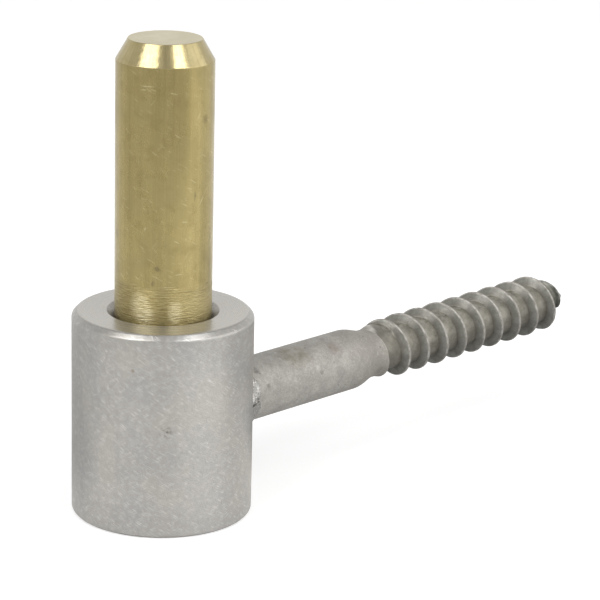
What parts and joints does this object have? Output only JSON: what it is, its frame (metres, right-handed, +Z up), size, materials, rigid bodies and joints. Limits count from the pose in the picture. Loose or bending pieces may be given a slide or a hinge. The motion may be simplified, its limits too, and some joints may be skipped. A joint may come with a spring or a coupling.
{
  "type": "gate hinge pin",
  "caption": "Screw-in gate hinge pin: an upright brass pin pressed into a round stainless barrel, with a coach screw welded square to the barrel's side.",
  "frame": {"origin": "on the pin's axis, at the barrel's base face", "axes": "+Z up the pin, +X out along the screw"},
  "size_m": [0.1191, 0.03, 0.0797],
  "materials": {
    "barrel_steel": "tumbled satin stainless",
    "pin_brass": "drawn bar, dull olive gold",
    "screw_steel": "pickled stainless, matt",
    "weld_steel": "rough bright weld"
  },
  "bodies": {
    "root": {"barrel": "barrel_steel", "hinge_pin": "pin_brass", "coach_screw": "screw_steel", "weld_bead": "weld_steel"}
  },
  "joints": []
}
